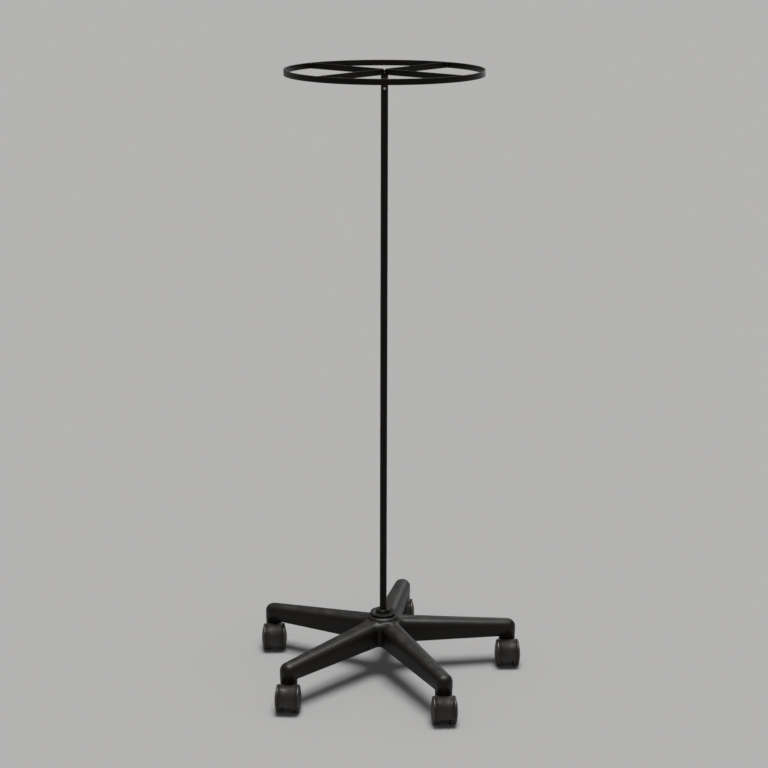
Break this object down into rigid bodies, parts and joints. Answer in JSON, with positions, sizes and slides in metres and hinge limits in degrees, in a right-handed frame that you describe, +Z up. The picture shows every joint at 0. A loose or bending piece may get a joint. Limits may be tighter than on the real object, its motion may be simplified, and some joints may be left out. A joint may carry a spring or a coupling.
{
  "type": "round garment rack",
  "caption": "Black round garment rack: a flat-bar hanging ring with crossed spokes on a slim post, in a star base on hooded twin-wheel casters.",
  "frame": {"origin": "on the post's axis at floor level, under the middle of the ring", "axes": "+Z up along the post; -Y towards the rack's front as it is viewed; +X to the right"},
  "size_m": [0.6083, 0.625, 1.3837],
  "materials": {
    "black_powder_coat": "satin black powder coat with a fine orange-peel texture",
    "black_collar": "black oxide turned steel, semi-gloss",
    "black_nylon": "moulded black nylon with a fine spark-eroded texture",
    "caster_nylon": "moulded black nylon, slightly smoother than the base",
    "wheel_nylon": "hard black nylon tread and domed face",
    "zinc_steel": "zinc-plated steel"
  },
  "bodies": {
    "rack": {"hanging_ring": "black_powder_coat", "ring_welds": "black_powder_coat", "ring_spigot": "black_powder_coat", "centre_weld": "black_powder_coat", "post_tube": "black_powder_coat", "ring_set_screw": "zinc_steel", "post_foot_plug": "zinc_steel", "spoke_1": "black_powder_coat", "spoke_2": "black_powder_coat", "spoke_3": "black_powder_coat", "spoke_4": "black_powder_coat", "star_base": "black_nylon", "hub_bushing": "black_collar", "foot_washer": "zinc_steel", "foot_lock_washer": "zinc_steel", "foot_bolt": "zinc_steel", "right_caster_stem": "zinc_steel", "right_caster_grip_ring": "zinc_steel", "right_caster_stem_clip": "zinc_steel", "back_caster_stem": "zinc_steel", "back_caster_grip_ring": "zinc_steel", "back_caster_stem_clip": "zinc_steel", "left_caster_stem": "zinc_steel", "left_caster_grip_ring": "zinc_steel", "left_caster_stem_clip": "zinc_steel", "front_left_caster_stem": "zinc_steel", "front_left_caster_grip_ring": "zinc_steel", "front_left_caster_stem_clip": "zinc_steel", "front_right_caster_stem": "zinc_steel", "front_right_caster_grip_ring": "zinc_steel", "front_right_caster_stem_clip": "zinc_steel"},
    "right_caster": {"right_caster_hood": "caster_nylon", "right_caster_axle": "zinc_steel"},
    "right_wheel_a": {"right_caster_wheel_a": "wheel_nylon"},
    "right_wheel_b": {"right_caster_wheel_b": "wheel_nylon"},
    "back_caster": {"back_caster_hood": "caster_nylon", "back_caster_axle": "zinc_steel"},
    "back_wheel_a": {"back_caster_wheel_a": "wheel_nylon"},
    "back_wheel_b": {"back_caster_wheel_b": "wheel_nylon"},
    "left_caster": {"left_caster_hood": "caster_nylon", "left_caster_axle": "zinc_steel"},
    "left_wheel_a": {"left_caster_wheel_a": "wheel_nylon"},
    "left_wheel_b": {"left_caster_wheel_b": "wheel_nylon"},
    "front_left_caster": {"front_left_caster_hood": "caster_nylon", "front_left_caster_axle": "zinc_steel"},
    "front_left_wheel_a": {"front_left_caster_wheel_a": "wheel_nylon"},
    "front_left_wheel_b": {"front_left_caster_wheel_b": "wheel_nylon"},
    "front_right_caster": {"front_right_caster_hood": "caster_nylon", "front_right_caster_axle": "zinc_steel"},
    "front_right_wheel_a": {"front_right_caster_wheel_a": "wheel_nylon"},
    "front_right_wheel_b": {"front_right_caster_wheel_b": "wheel_nylon"}
  },
  "joints": [
    {"name": "right_swivel", "type": "hinge", "parent": "rack", "child": "right_caster", "pos_m": [0.28951, 0.04378, 0.045], "axis": [0, 0, 1], "continuous": true},
    {"name": "right_roll_a", "type": "hinge", "parent": "right_caster", "child": "right_wheel_a", "pos_m": [0.29025, 0.0225, 0.0285], "axis": [0.9994, 0.0349, 0], "continuous": true},
    {"name": "right_roll_b", "type": "hinge", "parent": "right_caster", "child": "right_wheel_b", "pos_m": [0.29025, 0.0225, 0.0285], "axis": [0.9994, 0.0349, 0], "continuous": true},
    {"name": "back_swivel", "type": "hinge", "parent": "rack", "child": "back_caster", "pos_m": [0.04782, 0.28887, 0.045], "axis": [0, 0, 1], "continuous": true},
    {"name": "back_roll_a", "type": "hinge", "parent": "back_caster", "child": "back_wheel_a", "pos_m": [0.04782, 0.26757, 0.0285], "axis": [1, 0, 0], "continuous": true},
    {"name": "back_roll_b", "type": "hinge", "parent": "back_caster", "child": "back_wheel_b", "pos_m": [0.04782, 0.26757, 0.0285], "axis": [1, 0, 0], "continuous": true},
    {"name": "left_swivel", "type": "hinge", "parent": "rack", "child": "left_caster", "pos_m": [-0.25995, 0.13475, 0.045], "axis": [0, 0, 1], "continuous": true},
    {"name": "left_roll_a", "type": "hinge", "parent": "left_caster", "child": "left_wheel_a", "pos_m": [-0.25865, 0.11349, 0.0285], "axis": [0.9981, 0.061, 0], "continuous": true},
    {"name": "left_roll_b", "type": "hinge", "parent": "left_caster", "child": "left_wheel_b", "pos_m": [-0.25865, 0.11349, 0.0285], "axis": [0.9981, 0.061, 0], "continuous": true},
    {"name": "front_left_swivel", "type": "hinge", "parent": "rack", "child": "front_left_caster", "pos_m": [-0.20848, -0.20559, 0.045], "axis": [0, 0, 1], "continuous": true},
    {"name": "front_left_roll_a", "type": "hinge", "parent": "front_left_caster", "child": "front_left_wheel_a", "pos_m": [-0.2096, -0.22686, 0.0285], "axis": [0.9986, -0.0523, 0], "continuous": true},
    {"name": "front_left_roll_b", "type": "hinge", "parent": "front_left_caster", "child": "front_left_wheel_b", "pos_m": [-0.2096, -0.22686, 0.0285], "axis": [0.9986, -0.0523, 0], "continuous": true},
    {"name": "front_right_swivel", "type": "hinge", "parent": "rack", "child": "front_right_caster", "pos_m": [0.1311, -0.26181, 0.045], "axis": [0, 0, 1], "continuous": true},
    {"name": "front_right_roll_a", "type": "hinge", "parent": "front_right_caster", "child": "front_right_wheel_a", "pos_m": [0.13222, -0.28308, 0.0285], "axis": [0.9986, 0.0523, 0], "continuous": true},
    {"name": "front_right_roll_b", "type": "hinge", "parent": "front_right_caster", "child": "front_right_wheel_b", "pos_m": [0.13222, -0.28308, 0.0285], "axis": [0.9986, 0.0523, 0], "continuous": true}
  ]
}
